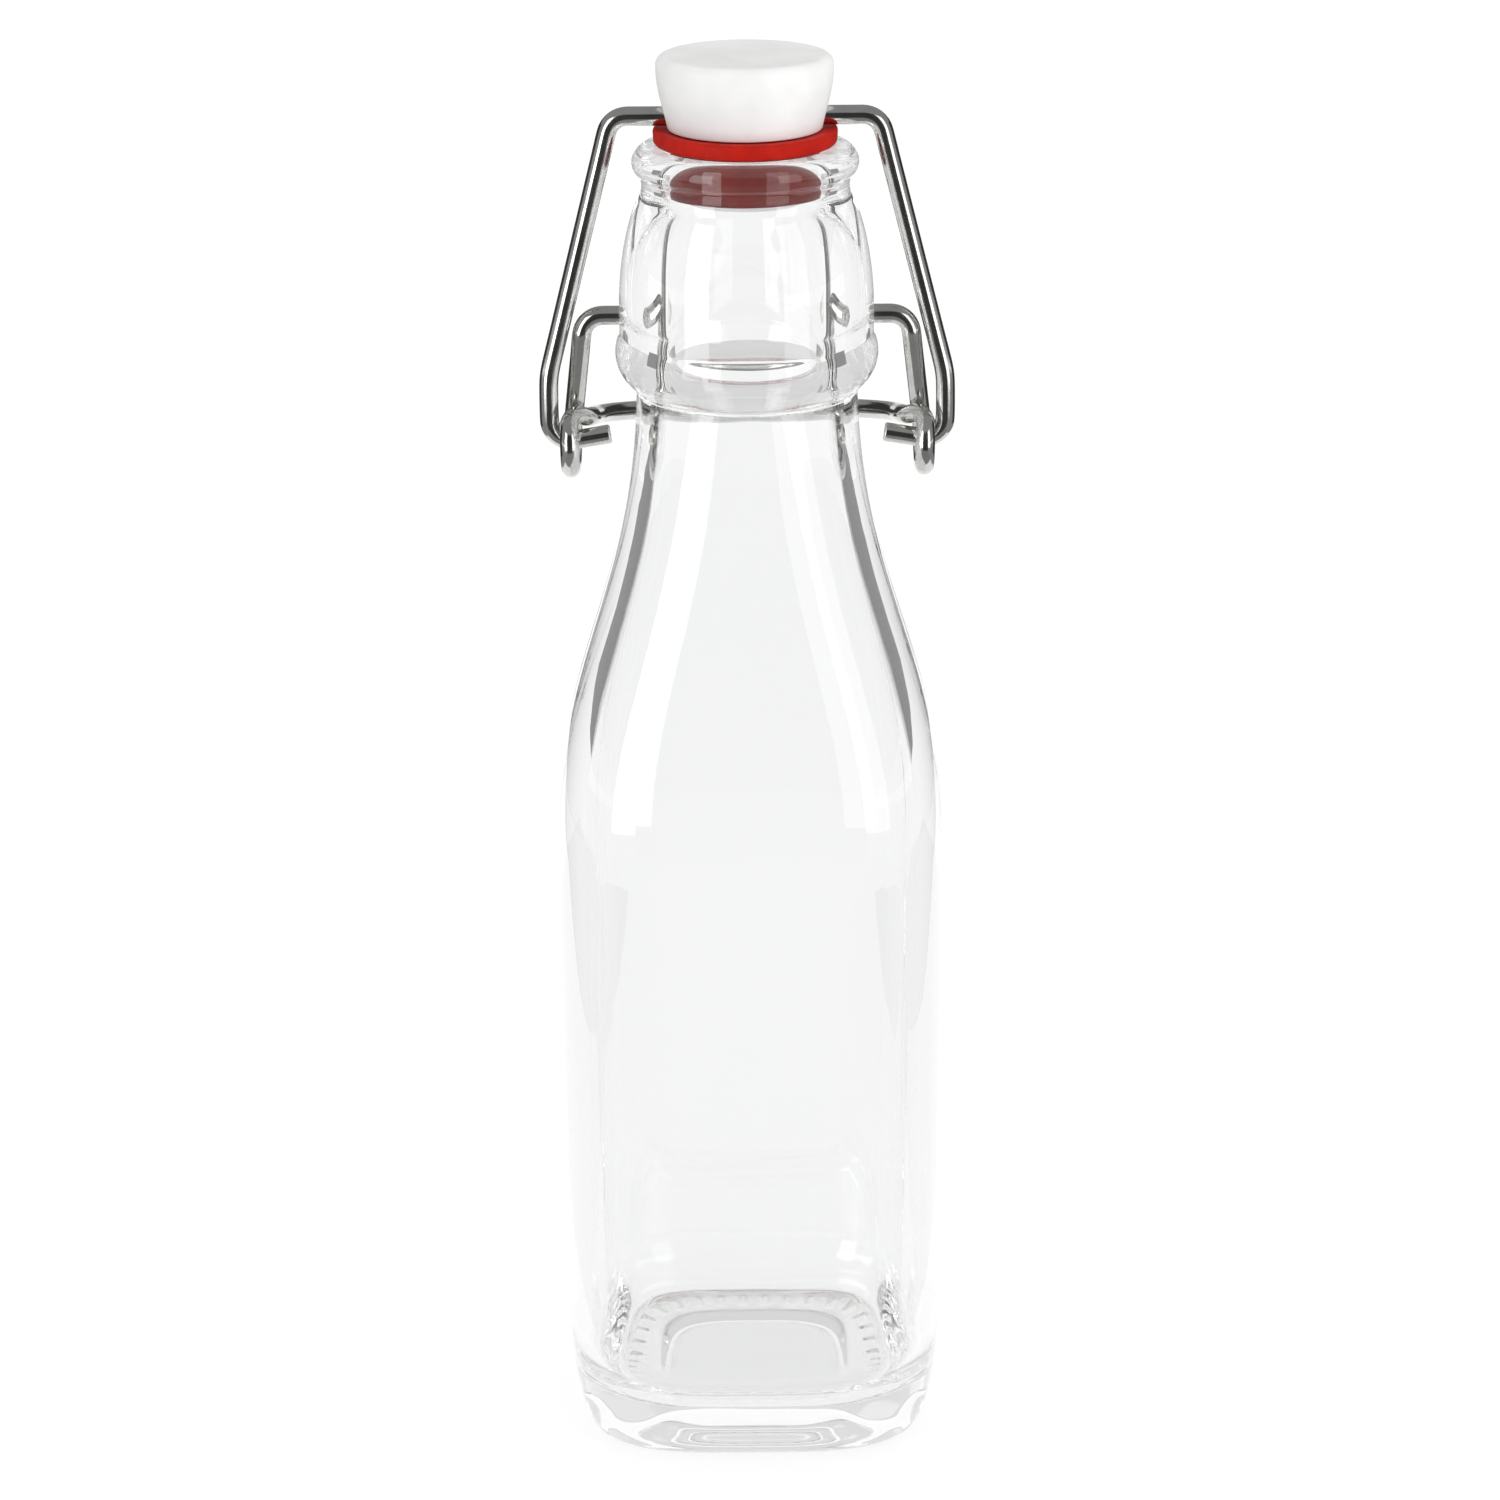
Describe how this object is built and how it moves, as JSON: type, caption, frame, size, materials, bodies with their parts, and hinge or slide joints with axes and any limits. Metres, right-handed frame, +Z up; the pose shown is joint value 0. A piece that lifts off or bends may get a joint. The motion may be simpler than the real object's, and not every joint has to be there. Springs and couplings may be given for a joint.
{
  "type": "swing-top bottle",
  "caption": "Small clear-glass square bottle with a round neck, closed by a white plastic stopper with a red seal on a wire bail and locking lever.",
  "frame": {"origin": "the middle of the base, on the surface the bottle stands on", "axes": "+Z up along the bottle's axis; +Y to the side where the locked lever's handle lies behind the neck; X along every pivot"},
  "size_m": [0.0586, 0.0552, 0.2021],
  "materials": {
    "glass": "clear, polished",
    "stopper_plastic": "satin, off-white",
    "seal_rubber": "matt, red",
    "wire_steel": "bright drawn wire",
    "lever_steel": "bright drawn wire"
  },
  "bodies": {
    "bottle": {"glass_bottle": "glass"},
    "lever": {"locking_lever": "lever_steel"},
    "bail": {"stopper_wire": "wire_steel"},
    "plug": {"stopper": "stopper_plastic", "seal_ring": "seal_rubber"}
  },
  "joints": [
    {"name": "lever_pivot", "type": "hinge", "parent": "bottle", "child": "lever", "pos_m": [0, 0, 0.1655], "axis": [1, 0, 0], "range_deg": [0, 150]},
    {"name": "bail_swing", "type": "hinge", "parent": "lever", "child": "bail", "pos_m": [0, 0, 0.1475], "axis": [1, 0, 0], "range_deg": [-98, 0]},
    {"name": "stopper_tilt", "type": "hinge", "parent": "bail", "child": "plug", "pos_m": [0, 0, 0.1936], "axis": [1, 0, 0], "range_deg": [-52.5, 0]}
  ],
  "couplings": [
    {"joint": "bail_swing", "follows": "lever_pivot", "ratio": -0.652},
    {"joint": "stopper_tilt", "follows": "lever_pivot", "ratio": -0.348}
  ]
}
